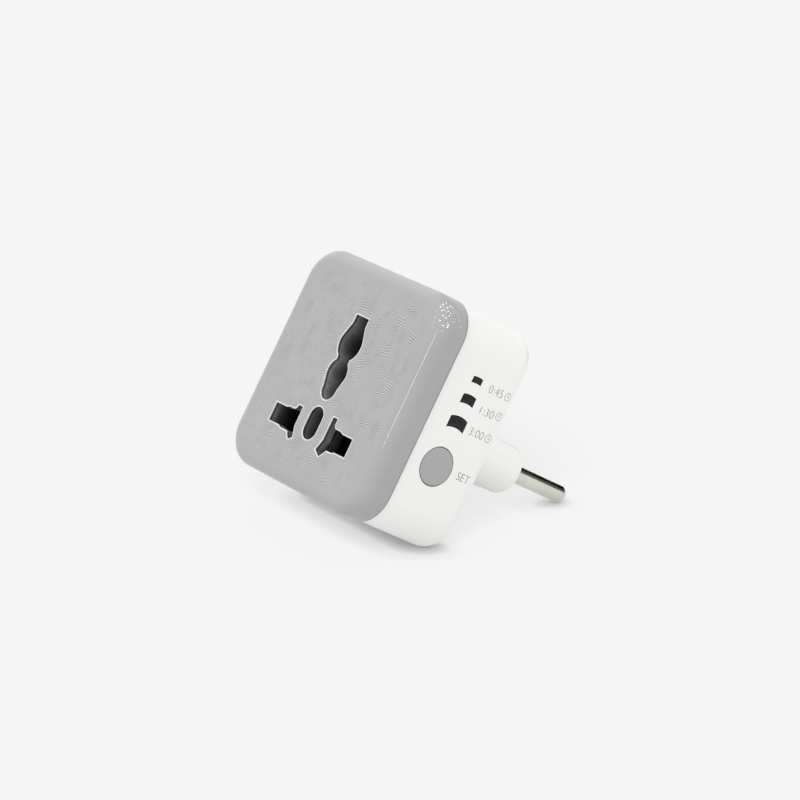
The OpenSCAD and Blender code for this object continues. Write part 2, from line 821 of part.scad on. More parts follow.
module relay_core() {
    color("#85878a") translate([coil_x, 0, coil_z]) {
        rod(core_r, yoke_top + pole_gap + 0.3, relay_base_front - yoke_thickness);
        rod(pole_r, yoke_top + pole_gap, yoke_top + pole_gap + 0.6);
        rod(core_r - 0.4, relay_base_front - yoke_thickness - cut, relay_base_front);
    }
}

module relay_bobbin() {
    front = yoke_top + pole_gap + 0.65;
    back = relay_base_front - yoke_thickness;
    color("#e4e0d2") translate([coil_x, 0, coil_z]) difference() {
        union() {
            rod(bobbin_r, front, back);
            rod(coil_r, front, front + flange_t);
            rod(coil_r, back - flange_t, back);
        }
        rod(core_r + 0.05, front - cut, back + cut);
    }
}

module relay_winding() {
    front = yoke_top + pole_gap + 0.65 + flange_t;
    back = relay_base_front - yoke_thickness - flange_t;
    color("#b5652d") translate([coil_x, 0, coil_z]) difference() {
        rod(coil_r - 0.3, front, back);
        rod(bobbin_r + 0.02, front - cut, back + cut);
    }
}

module relay_armature() {
    color("#a3a5a8") block([coil_x - armature_half_w, yoke_top - armature_t, yoke_low],
        [coil_x + armature_half_w, yoke_top, coil_z + armature_past]);
}

// Spring leaf on the armature, with the silver button at its end
module moving_contact() {
    front = yoke_top - armature_t;
    color("#cf9a5c") {
        block([coil_x - arm_half_w, front - arm_t, coil_z - armature_past],
            [coil_x + arm_half_w, front, contact_z + contact_margin]);
        translate([coil_x, 0, contact_z]) rod(contact_r, front - arm_t / 2, yoke_top - 0.1);
    }
}

// Fixed strip that the moving contact closes on
module fixed_contact() {
    face = yoke_top - 0.1 + contact_gap;
    strip = face + contact_post;
    end = contact_z + contact_margin;
    color("#cf9a5c") {
        block([coil_x - arm_half_w, strip, contact_z - contact_margin],
            [coil_x + arm_half_w, strip + contact_post, end]);
        block([coil_x - arm_half_w, strip + contact_post / 2, end - contact_post],
            [coil_x + arm_half_w, relay_base_front, end]);
        translate([coil_x, 0, contact_z]) rod(contact_r, face, strip + contact_post / 2);
    }
}

// ---- Supply parts on the main board ----

module lead_pair(x, z, spread, from) {
    for (s = [-1, 1]) translate([x + s * spread[0], 0, z + s * spread[1]])
        rod(wire_r, from, board_back + tab_past);
}

module film_capacitor() {
    half = [film_size[0] / 2, 0, film_size[2] / 2];
    middle = [film_x, 0, film_z];
    color("#d9a62b") {
        block(middle - half + [0, board_front - film_size[1], 0], middle + half + [0, board_front, 0]);
        lead_pair(film_x, film_z, [0, film_lead], board_front - cut);
    }
}

module storage_capacitor() {
    bead = 2.4; // distance of the groove from the can's foot
    color("#3a3f55") {
        translate([can_x, board_front, can_z]) rotate([90, 0, 0]) rotate_extrude()
            polygon([[0, 0.2], [can_r - 0.4, 0.2], [can_r, 0.6], [can_r, bead - 0.4], [can_r - 0.4, bead],
                [can_r, bead + 0.4], [can_r, can_h - 0.4], [can_r - 0.4, can_h], [0, can_h]]);
        lead_pair(can_x, can_z, [can_lead, 0], board_front - cut);
    }
}

module bridge_rectifier() {
    half = [bridge_size[0] / 2, 0, bridge_size[2] / 2];
    middle = [bridge_x, 0, bridge_z];
    color("#2a2a2c") {
        block(middle - half + [0, board_front - bridge_size[1], 0], middle + half + [0, board_front - 0.2, 0]);
        for (x = [-1, 1], z = [-1, 1])
            translate([bridge_x + x * 1.2, 0, bridge_z + z * (bridge_size[2] / 2 - 0.2)])
                block([-0.35, board_front - 0.8, -0.4], [0.35, board_front, 0.4]);
    }
}

module fuse_resistor() {
    color("#6f8f6a") {
        translate([0, fuse_y, fuse_z]) {
            cross_rod(fuse_r - 0.2, -fuse_half + 1, fuse_half - 1);
            for (x = [-1, 1]) translate([x * (fuse_half - 1.2), 0, 0]) cross_rod(fuse_r, -1, 1);
            cross_rod(wire_r, -fuse_lead, fuse_lead);
            for (x = [-fuse_lead, fuse_lead]) translate([x, 0, 0]) sphere(wire_r);
        }
        lead_pair(0, fuse_z, [fuse_lead, 0], fuse_y);
    }
}

module varistor() {
    back = board_front - 0.6;
    edge = 1;
    color("#3f6fb5") {
        translate([varistor_x, back, varistor_z]) rotate([90, 0, 0]) rotate_extrude()
            polygon([[0, 0], [varistor_r - edge, 0], [varistor_r, edge], [varistor_r, varistor_t - edge],
                [varistor_r - edge, varistor_t], [0, varistor_t]]);
        lead_pair(varistor_x, varistor_z, [varistor_lead, 0], back - cut);
    }
}

front_cover();
rear_housing();
case_screws();
live_pin();
neutral_pin();
live_lead();
neutral_lead();
socket_carrier();
carrier_cap();
live_contact();
neutral_contact();
main_board();
side_board();
set_button();
switch_body();
switch_dome();
switch_plunger();
window_lens();
light_shield();
indicator_lamps();
timer_chip();
chip_resistors();
relay_base();
relay_case();
relay_terminals();
relay_bobbin();
relay_winding();
relay_core();
relay_yoke();
relay_armature();
moving_contact();
fixed_contact();
film_capacitor();
storage_capacitor();
bridge_rectifier();
fuse_resistor();
varistor();
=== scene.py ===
"""Looks of a plug-in timer switch: case pieces, printed marks, materials, a pale floor, lights and camera."""

import math

import bpy
from mathutils import Matrix, Vector


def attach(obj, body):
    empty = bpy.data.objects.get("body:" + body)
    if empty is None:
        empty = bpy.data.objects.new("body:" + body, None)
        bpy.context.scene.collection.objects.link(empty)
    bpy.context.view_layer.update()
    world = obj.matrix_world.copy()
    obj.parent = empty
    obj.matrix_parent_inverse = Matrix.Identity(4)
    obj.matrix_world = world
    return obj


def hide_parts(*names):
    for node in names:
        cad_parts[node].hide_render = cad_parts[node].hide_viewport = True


MM = 0.001

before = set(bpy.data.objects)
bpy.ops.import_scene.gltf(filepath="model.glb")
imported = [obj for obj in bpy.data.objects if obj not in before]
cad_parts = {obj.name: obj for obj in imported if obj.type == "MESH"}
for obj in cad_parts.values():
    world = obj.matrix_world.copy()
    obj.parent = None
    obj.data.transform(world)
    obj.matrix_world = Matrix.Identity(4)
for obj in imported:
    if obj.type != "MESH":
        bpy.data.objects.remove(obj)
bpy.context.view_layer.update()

# Main places and sizes in millimetres, in the part's own frame
FACE = -46.3  # front of the cover, along Y
SEAM = -39.2  # back rim of the cover, along Y
BACK = -17.6  # back of the housing, along Y
MIDDLE = 2.6  # height of the case's centre
ROW = -9.9  # height of the live and neutral row
COVER = 51.6  # width of the cover
HOUSING = 50.7  # width of the housing
INSIDE = 47.1  # width of the housing's room
SIDE = HOUSING / 2  # right side of the housing, along X
BACK_ROUND = 4  # rounding of the housing's back edge
PIN = 9.5  # each plug pin's distance from the middle
PIN_RADIUS = 2
PIN_LENGTH = 19
SCREW = 18.6  # each screw post's distance from the case's centre, along X and along Z
CONTROLS = -31.1  # middle of the button and of the windows, along Y
BUTTON = -5.4  # height of the button's middle
BUTTON_RADIUS = 4.25
RIM = 0.12  # small round on the case's sharp edges
HIGHLIGHT_RING = 0.27  # width of the ring of painted highlight round each opening


# ---- Modelling helpers ----


def take(obj):
    bpy.ops.object.select_all(action="DESELECT")
    obj.select_set(True)
    bpy.context.view_layer.objects.active = obj


def named(name):
    obj = bpy.context.object
    obj.name = name
    obj.data.name = name
    take(obj)
    return obj


def settle(obj):
    take(obj)
    bpy.ops.object.transform_apply(location=True, rotation=True, scale=True)
    return obj


def block(name, low, high):
    bpy.ops.object.select_all(action="DESELECT")
    low, high = Vector(low) * MM, Vector(high) * MM
    bpy.ops.mesh.primitive_cube_add(size=1, location=(low + high) / 2, scale=high - low)
    return settle(named(name))


def rod(name, radius, start, end, at, axis="Y", sides=96):
    """A round rod from start to end along X or Y, centred on the other two coordinates in at."""
    bpy.ops.object.select_all(action="DESELECT")
    mid = (start + end) / 2
    if axis == "Y":
        place, turn = (at[0], mid, at[1]), (-math.pi / 2, 0, 0)
    else:
        place, turn = (mid, at[0], at[1]), (0, math.pi / 2, 0)
    bpy.ops.mesh.primitive_cylinder_add(
        vertices=sides, radius=radius * MM, depth=(end - start) * MM, location=Vector(place) * MM, rotation=turn
    )
    return settle(named(name))


def copy_to(obj, name, move):
    """A copy with its own mesh, moved by a distance in millimetres."""
    take(obj)
    bpy.ops.object.duplicate()
    bpy.ops.transform.translate(value=Vector(move) * MM)
    return settle(named(name))


def choose(obj, kind, test):
    """Selects vertices, edges or faces whose corner points all pass the test, in millimetres."""
    take(obj)
    mesh = obj.data
    for group in (mesh.vertices, mesh.edges, mesh.polygons):
        group.foreach_set("select", [False] * len(group))
    bpy.ops.object.mode_set(mode="EDIT")
    bpy.ops.mesh.select_mode(type=kind)
    bpy.ops.object.mode_set(mode="OBJECT")
    group = {"VERT": mesh.vertices, "EDGE": mesh.edges, "FACE": mesh.polygons}[kind]
    for item in group:
        points = [item.co] if kind == "VERT" else [mesh.vertices[i].co for i in item.vertices]
        item.select = all(test(p / MM) for p in points)
    bpy.ops.object.mode_set(mode="EDIT")


def done():
    bpy.ops.object.mode_set(mode="OBJECT")


def round_edges(obj, test, width, steps):
    choose(obj, "EDGE", test)
    bpy.ops.mesh.bevel(offset=width * MM, segments=steps, profile=0.5, affect="EDGES", clamp_overlap=False)
    done()
    return obj


def join_or_cut(obj, tool, how="DIFFERENCE"):
    """Cuts a tool out of a piece, or joins it on with UNION, and uses the tool up."""
    take(obj)
    change = obj.modifiers.new("shape", "BOOLEAN")
    change.operation = how
    change.object = tool
    change.solver = "EXACT"
    bpy.ops.object.modifier_apply(modifier="shape")
    bpy.data.objects.remove(tool, do_unlink=True)


def clean(obj):
    """Merges doubled points and turns all faces outwards."""
    take(obj)
    bpy.ops.object.mode_set(mode="EDIT")
    bpy.ops.mesh.select_all(action="SELECT")
    bpy.ops.mesh.remove_doubles(threshold=0.004 * MM)
    bpy.ops.mesh.normals_make_consistent(inside=False)
    done()
    return obj


def soft_rims(obj, width):
    """Breaks every sharp edge with a small round, and keeps the flats flat in the shading."""
    take(obj)
    rim = obj.modifiers.new("rims", "BEVEL")
    rim.width = width * MM
    rim.segments = 2
    rim.limit_method = "ANGLE"
    rim.angle_limit = math.radians(50)
    rim.use_clamp_overlap = True
    rim.miter_outer = "MITER_ARC"
    bpy.ops.object.modifier_apply(modifier="rims")
    return smooth(obj)


def smooth(obj):
    take(obj)
    bpy.ops.object.shade_smooth_by_angle(angle=math.radians(40))
    flat = obj.modifiers.new("flats", "WEIGHTED_NORMAL")
    flat.keep_sharp = True
    flat.weight = 90
    bpy.ops.object.modifier_apply(modifier="flats")
    return obj


def arc(centre, radius, first, last, steps=12):
    """Points on an arc from one angle to another, in degrees."""
    turn = [math.radians(first + (last - first) * i / steps) for i in range(steps + 1)]
    return [(centre[0] + radius * math.cos(a), centre[1] + radius * math.sin(a)) for a in turn]


def plate(name, outline, start, end, axis="Y"):
    """A closed outline in X and Z (or Y and Z) given depth from start to end."""
    bpy.ops.object.select_all(action="DESELECT")
    bpy.ops.mesh.primitive_circle_add(vertices=len(outline), radius=MM, fill_type="NGON")
    obj = named(name)
    for v, (a, z) in zip(obj.data.vertices, outline):
        v.co = Vector((a, start, z) if axis == "Y" else (start, a, z)) * MM
    bpy.ops.object.mode_set(mode="EDIT")
    bpy.ops.mesh.select_all(action="SELECT")
    move = Vector((0, end - start, 0) if axis == "Y" else (end - start, 0, 0)) * MM
    bpy.ops.mesh.extrude_region_move(TRANSFORM_OT_translate={"value": move})
    bpy.ops.mesh.select_all(action="SELECT")
    bpy.ops.mesh.normals_make_consistent(inside=False)
    done()
    return obj


def tile(name, half, corner, start, end, sides=20):
    """A square plate with rounded corners, centred on the case."""
    at = half - corner
    outline = []
    for n, (x, z) in enumerate(((at, at), (-at, at), (-at, -at), (at, -at))):
        outline += arc((x, MIDDLE + z), corner, 90 * n, 90 * n + 90, sides)
    return plate(name, outline, start, end)


def stadium(half_w, half_h):
    """An outline with straight sides and round ends, centred on the origin."""
    side, steps = half_w - half_h, 28
    return arc((side, 0), half_h, -90, 90, steps) + arc((-side, 0), half_h, 90, 270, steps)


# ---- Outlines of the socket's holes and of the windows ----


def earth_outline():
    """The earth slot: a flat blade's slot at the top, then three rounds that run into one another."""
    right = [(2.3, 26.65), (2.3, 24.7)]
    right += arc((0, 20.2), 3.85, 20, -56.06, 16)
    right += arc((0, 13.4), 3.4, 50.77, -12, 12)
    right += arc((0, 9.6), 2.45, 6, -90, 14)
    left = [(-x, z) for x, z in reversed(right[:-1])]
    return [(x, ROW + z) for x, z in right + left]


def slot_outline(blade_top, foot, side):
    """A side slot for flat and round pins, with a leaning foot; side is 1 for the right and -1 for the left."""
    lean = math.radians(28)
    heel = (4.55, -3.3)
    toe = (heel[0] + foot * math.cos(lean), heel[1] - foot * math.sin(lean))
    points = [(5.55, blade_top), (7.2, blade_top), (7.2, 3.21), (7.5, 2.8), (7.95, 2.45)]
    points += arc((PIN, 0), 2.45, 90, 59, 5)
    points += [(14.65, 2.1), (14.65, -2.1)]
    points += arc((PIN, 0), 2.45, -59, -90, 5)
    points += [(toe[0] + 1.6, -2.47), (toe[0] + 1.25, toe[1] + 1.43), (toe[0] + 0.7, toe[1] + 0.68), toe, heel]
    points += [(5.55, -0.8)]
    return [(side * x, ROW + z) for x, z in points]


def window_outline(width, height, rise, inset=0.0):
    """A window with a bowed top and foot, at a height above the case's centre."""
    bow = 6.5
    half_w, half_h = width / 2 - inset, height / 2 - inset
    swing = math.degrees(math.asin(half_w / bow))
    centre = CONTROLS + 0.14
    top = arc((centre, MIDDLE + rise + half_h - bow), bow, 90 - swing, 90 + swing)
    low = arc((centre, MIDDLE + rise - half_h - bow), bow, 90 + swing, 90 - swing)
    return top + low


SOCKET = {
    "earth": earth_outline(),
    "middle": [(x, ROW + 1.5 + z) for z, x in stadium(3.8, 2.3)],
    "wide": slot_outline(4.6, 2.2, 1),
    "narrow": slot_outline(3.65, 1.4, -1),
}
WINDOWS = [(2.85, 1.45, 12.25), (3.9, 2.1, 7.8), (5.05, 2.65, 2.45)]  # width, height and rise of each


# ---- Case pieces ----


def make_cover(finishes):
    """Cover shell with the socket's openings, thinned behind them for the carrier."""
    thinned, past_wall = FACE + 0.8, FACE + 2.5
    cover = tile("cover_shell", COVER / 2, 8, FACE, SEAM, 24)
    round_edges(cover, lambda p: p.y < FACE + 0.01, 3, 12)
    join_or_cut(cover, tile("inside", COVER / 2 - 2, 6, FACE + 2, SEAM + 1))
    join_or_cut(cover, block("carrier_bed", (-16.1, thinned, ROW - 6.2), (16.1, past_wall, ROW + 6.2)))
    join_or_cut(cover, block("tower_bed", (-6.1, thinned, ROW + 6), (6.1, past_wall, ROW + 28.6)))
    for name, outline in SOCKET.items():
        join_or_cut(cover, plate(name, outline, FACE - 1, FACE + 3))
    clean(cover)

    # A narrow ring round each hole gets a painted highlight, and the holes' walls get painted shade
    for finish in finishes:
        cover.data.materials.append(finish)
    choose(cover, "FACE", lambda p: p.y < FACE + 0.001)
    bpy.ops.mesh.inset(thickness=HIGHLIGHT_RING * MM, depth=0, use_boundary=True, use_even_offset=True, use_select_inset=True)
    cover.active_material_index = 2
    bpy.ops.object.material_slot_assign()
    done()
    soft_rims(cover, RIM)
    # The holes' rounded rims get the painted highlight and their walls the painted shade; faces beyond the openings
    # stay plain grey
    for face in cover.data.polygons:
        spot = face.center / MM
        beyond_openings = abs(spot.x) > 17 or abs(spot.z - 0.75) > 18.75
        if beyond_openings:
            face.material_index = 0
        elif FACE + 0.002 < spot.y < SEAM - 1:
            face.material_index = 1 if spot.y > FACE + RIM else 2
    return cover


def make_boss():
    """Boss that the pins stand on, slightly tapered towards its end."""
    half_w, half_h, taper = 16.2, 6.2, 0.4
    boss = plate("boss", stadium(half_w, half_h), BACK - 1, 0)
    choose(boss, "VERT", lambda p: p.y > -0.01)
    end_size = ((half_w - taper) / half_w, 1, (half_h - taper) / half_h)
    bpy.ops.transform.resize(value=end_size, center_override=(0, 0, 0))
    done()
    return round_edges(boss, lambda p: p.y > -0.01, 0.85, 5)


def make_housing():
    """Housing shell with its boss, the lip that enters the cover, the screw posts and the right side's openings."""
    shell = tile("housing_shell", HOUSING / 2, 7.55, SEAM, BACK, 24)
    round_edges(shell, lambda p: p.y > BACK - 0.01, BACK_ROUND, 14)
    join_or_cut(shell, make_boss(), "UNION")
    join_or_cut(shell, tile("inside", INSIDE / 2, 5.75, SEAM - 1, BACK - 2))
    join_or_cut(shell, plate("boss_room", stadium(13.8, 3.8), BACK - 3, -2.4))
    lip = tile("lip", 23.7, 5.9, SEAM - 2.3, SEAM + 2)
    join_or_cut(lip, tile("lip_room", 22.55, 4.75, SEAM - 3, SEAM + 3))
    join_or_cut(shell, lip, "UNION")
    for x in (-PIN, PIN):
        join_or_cut(shell, rod("pin_hole", 1.62, -4, 1, (x, 0)))
        join_or_cut(shell, rod("pin_ring", 2.1, -0.3, 1, (x, 0)))
    for x in (-SCREW, SCREW):
        for z in (-SCREW, SCREW):
            post = rod("post", 3.4, -38.3, BACK - 1, (x, MIDDLE + z))
            join_or_cut(shell, post, "UNION")
            join_or_cut(shell, rod("shank_room", 1.45, -39, -20, (x, MIDDLE + z)))
            join_or_cut(shell, rod("head_room", 2.55, -28.1, BACK + 1, (x, MIDDLE + z)))
    join_or_cut(shell, rod("button_hole", 4.45, 20, 30, (CONTROLS, BUTTON), "X"))
    for n, (w, h, rise) in enumerate(WINDOWS):
        join_or_cut(shell, plate(f"window_{n}", window_outline(w, h, rise), 20, 30, "X"))
    clean(shell)
    return soft_rims(shell, RIM)


def make_button():
    """Button cap with a flange behind the housing's hole and a stem that meets the switch."""
    at, top = (CONTROLS, BUTTON), 25.5
    button = rod("button_cap", 5, 22.6, 23.45, at, "X", 128)
    join_or_cut(button, rod("cap", BUTTON_RADIUS, 23, top, at, "X", 128), "UNION")
    join_or_cut(button, rod("underside", 3.25, 22, 24.3, at, "X", 128))
    join_or_cut(button, rod("stem", 1.6, 22.4, 24.6, at, "X", 64), "UNION")
    clean(button)

    def on_top_edge(p):
        return p.x > top - 0.01 and abs(math.hypot(p.y - at[0], p.z - at[1]) - BUTTON_RADIUS) < 0.01

    round_edges(button, on_top_edge, 0.3, 5)
    return smooth(button)


def make_pin(name, x):
    """Plug pin with a domed end, and a shank, collar and tail inside the boss."""
    pin = rod(name, PIN_RADIUS, 0, PIN_LENGTH, (x, 0), "Y", 128)
    round_edges(pin, lambda p: p.y > PIN_LENGTH - 0.01, 1.2, 8)
    join_or_cut(pin, rod("shank", 1.6, -3, 0.5, (x, 0)), "UNION")
    join_or_cut(pin, rod("collar", 3.1, -3.6, -2.4, (x, 0)), "UNION")
    join_or_cut(pin, rod("tail", 1.3, -9, -3.2, (x, 0), "Y", 64), "UNION")
    clean(pin)
    return smooth(pin)


def make_lens():
    """Smoked strip behind the windows, with a raised bar in each opening."""
    lens = block("window_strip", (22.45, CONTROLS - 3.45, 2.675), (23.55, CONTROLS + 3.45, 16.675))
    for n, (w, h, rise) in enumerate(WINDOWS):
        join_or_cut(lens, plate(f"bar_{n}", window_outline(w, h, rise, 0.02), 23.4, 25.3, "X"), "UNION")
    clean(lens)
    return soft_rims(lens, 0.2)


def on_side(along, above):
    """Place across the part of a point a little above the right side, which rounds off towards the back."""
    past = max(along - (BACK - BACK_ROUND), 0)
    return SIDE - BACK_ROUND + math.sqrt(BACK_ROUND**2 - past * past) + above


def make_mark(name, words, start, end, low, high, thin):
    """Thin printed lettering on the right side, fitted between two ends along Y and two heights."""
    bpy.ops.object.select_all(action="DESELECT")
    bpy.ops.object.text_add()
    text = bpy.context.object
    text.name = name
    text.data.body = words
    text.data.offset = thin
    text.data.extrude = 0.02
    text.data.resolution_u = 8
    take(text)
    bpy.ops.object.convert(target="MESH")
    mark = named(name)
    points = [v.co.copy() for v in mark.data.vertices]
    left, right = min(p.x for p in points), max(p.x for p in points)
    foot, top = min(p.y for p in points), max(p.y for p in points)
    proud, sunk = 0.012, -0.02
    for v in mark.data.vertices:
        along = start + (v.co.x - left) / (right - left) * (end - start)
        height = low + (v.co.y - foot) / (top - foot) * (high - low)
        v.co = Vector((on_side(along, proud if v.co.z > 0 else sunk), along, height)) * MM
    return clean(mark)


def make_clocks(places):
    """Small rings with two hands: one flat ring is copied to each place, and bent to the side there."""
    proud, sunk = 0.02, -0.06
    bpy.ops.object.select_all(action="DESELECT")
    bpy.ops.mesh.primitive_torus_add(
        major_radius=0.86 * MM,
        minor_radius=0.085 * MM,
        major_segments=48,
        minor_segments=8,
        location=(sunk * MM, 0, 0),
        rotation=(0, math.pi / 2, 0),
    )
    ring = settle(named("flat_clock"))
    join_or_cut(ring, block("long_hand", (sunk, -0.15, -0.14), (proud, -0.03, 0.42)), "UNION")
    join_or_cut(ring, block("short_hand", (sunk, -0.12, -0.14), (proud, 0.3, -0.03)), "UNION")
    clean(ring)
    clocks = []
    for name, along, height in places:
        clock = copy_to(ring, name, (0, along, height))
        for v in clock.data.vertices:
            v.co.x = on_side(v.co.y / MM, v.co.x / MM) * MM
        clocks.append(smooth(clock))
    bpy.data.objects.remove(ring, do_unlink=True)
    return clocks


# ---- Material helpers ----


def set_range(node, low, high, from_low, from_high):
    """Sets the range that a Map Range node returns, and the range that it reads."""
    for key, number in (("From Min", from_low), ("From Max", from_high), ("To Min", low), ("To Max", high)):
        node.inputs[key].default_value = number


def combine(tree, how, *values, clamp=False):
    """A Math node's result from numbers and other nodes' outputs."""
    made = tree.nodes.new("ShaderNodeMath")
    made.operation, made.use_clamp = how, clamp
    for socket, value in zip(made.inputs, values):
        if isinstance(value, (int, float)):
            socket.default_value = value
        else:
            tree.links.new(value, socket)
    return made.outputs[0]


def bare_tree(owner):
    """The node tree of a material or the world, emptied."""
    owner.use_nodes = True
    owner.node_tree.nodes.clear()
    return owner.node_tree


class Recipe:
    """Builds one material's nodes; numbers are lengths in millimetres on the piece."""

    def __init__(self, name, colour, rough=0.4, metal=0.0, coat=0.0, coat_rough=0.1, specular=0.5):
        self.material = bpy.data.materials.new(name)
        self.material.use_nodes = True
        self.tree = self.material.node_tree
        self.shader = self.tree.nodes["Principled BSDF"]
        self.put("Base Color", (*colour, 1))
        self.put("Roughness", rough)
        self.put("Metallic", metal)
        self.put("Coat Weight", coat)
        self.put("Coat Roughness", coat_rough)
        self.put("Specular IOR Level", specular)
        place = self.node("ShaderNodeTexCoord")
        scale = self.node("ShaderNodeVectorMath", operation="SCALE")
        self.link(place.outputs["Object"], scale.inputs[0])
        scale.inputs["Scale"].default_value = 1 / MM
        self.place = scale.outputs[0]
        self.colour = colour

    def put(self, socket, value):
        self.shader.inputs[socket].default_value = value

    def node(self, kind, **settings):
        made = self.tree.nodes.new(kind)
        for key, value in settings.items():
            setattr(made, key, value)
        return made

    def link(self, a, b):
        self.tree.links.new(a, b)

    def math(self, how, *values, clamp=False):
        return combine(self.tree, how, *values, clamp=clamp)

    def times(self, first, *rest):
        for value in rest:
            first = self.math("MULTIPLY", first, value)
        return first

    def plus(self, first, *rest):
        for value in rest:
            first = self.math("ADD", first, value)
        return first

    def axes(self):
        split = self.node("ShaderNodeSeparateXYZ")
        self.link(self.place, split.inputs[0])
        return split.outputs

    def noise(self, size, detail=3, rough=0.5, stretch=(1, 1, 1)):
        stretched = self.node("ShaderNodeVectorMath", operation="MULTIPLY")
        self.link(self.place, stretched.inputs[0])
        stretched.inputs[1].default_value = tuple(s / size for s in stretch)
        made = self.node("ShaderNodeTexNoise")
        self.link(stretched.outputs[0], made.inputs["Vector"])
        made.inputs["Scale"].default_value = 1
        made.inputs["Detail"].default_value = detail
        made.inputs["Roughness"].default_value = rough
        return made.outputs["Fac"]

    def spread(self, value, low, high, from_low=0.3, from_high=0.7):
        made = self.node("ShaderNodeMapRange")
        self.link(value, made.inputs["Value"])
        set_range(made, low, high, from_low, from_high)
        return made.outputs[0]

    def blend(self, amount, first, second):
        """Mixes two colours by an amount that varies over the surface."""
        made = self.node("ShaderNodeMix", data_type="RGBA")
        self.link(amount, made.inputs[0])
        made.inputs[6].default_value = (*first, 1)
        made.inputs[7].default_value = (*second, 1)
        return made.outputs[2]

    def shade(self, factor, colour=None):
        """Lightens or darkens a colour by a factor that varies over the surface."""
        made = self.node("ShaderNodeVectorMath", operation="SCALE")
        if colour is None:
            made.inputs[0].default_value = self.colour
        else:
            self.link(colour, made.inputs[0])
        self.link(factor, made.inputs["Scale"])
        return made.outputs[0]

    def paint(self, colour):
        self.link(colour, self.shader.inputs["Base Color"])

    def gloss(self, value):
        self.link(value, self.shader.inputs["Roughness"])

    def relief(self, *layers):
        """Stacks bumps, each a height and its depth in millimetres."""
        last = None
        for height, depth in layers:
            bump = self.node("ShaderNodeBump")
            bump.inputs["Strength"].default_value = 1
            bump.inputs["Distance"].default_value = depth * MM
            self.link(height, bump.inputs["Height"])
            if last:
                self.link(last, bump.inputs["Normal"])
            last = bump.outputs[0]
        self.link(last, self.shader.inputs["Normal"])


def moulded(name, colour, rough, grain=0.35, depth=0.004, vary=0.03, **more):
    """Moulded plastic with a fine skin, a faint flow mottle and uneven gloss."""
    m = Recipe(name, colour, rough, **more)
    mottle = m.spread(m.noise(9, 4), 1 - vary, 1 + vary)
    speck = m.spread(m.noise(0.5, 2), 1 - vary / 2, 1 + vary / 2)
    m.paint(m.shade(m.times(mottle, speck)))
    m.gloss(m.spread(m.noise(4, 3), rough * 0.85, rough * 1.15))
    m.relief((m.noise(grain, 2), depth), (m.noise(14, 2), depth * 3))
    return m.material


def drawn_metal(name, colour, rough, run=(1, 1, 1), depth_shade=None):
    """Metal with fine draw marks along its run and slightly uneven tarnish; a painted shade may darken it with
    depth.
    """
    m = Recipe(name, colour, rough, metal=1)
    marks = m.noise(0.12, 3, 0.6, run)
    tone = m.times(m.spread(m.noise(5, 4), 0.94, 1.06), m.spread(marks, 0.97, 1.03))
    # Painted shade: brighter near the opening, darker deeper in
    if depth_shade:
        tone = m.times(tone, m.spread(m.axes()[1], *depth_shade))
    m.paint(m.shade(tone))
    m.gloss(m.times(m.spread(m.noise(2.5, 3), 0.8, 1.2), m.spread(marks, rough * 0.85, rough * 1.15)))
    m.relief((marks, 0.002))
    return m.material


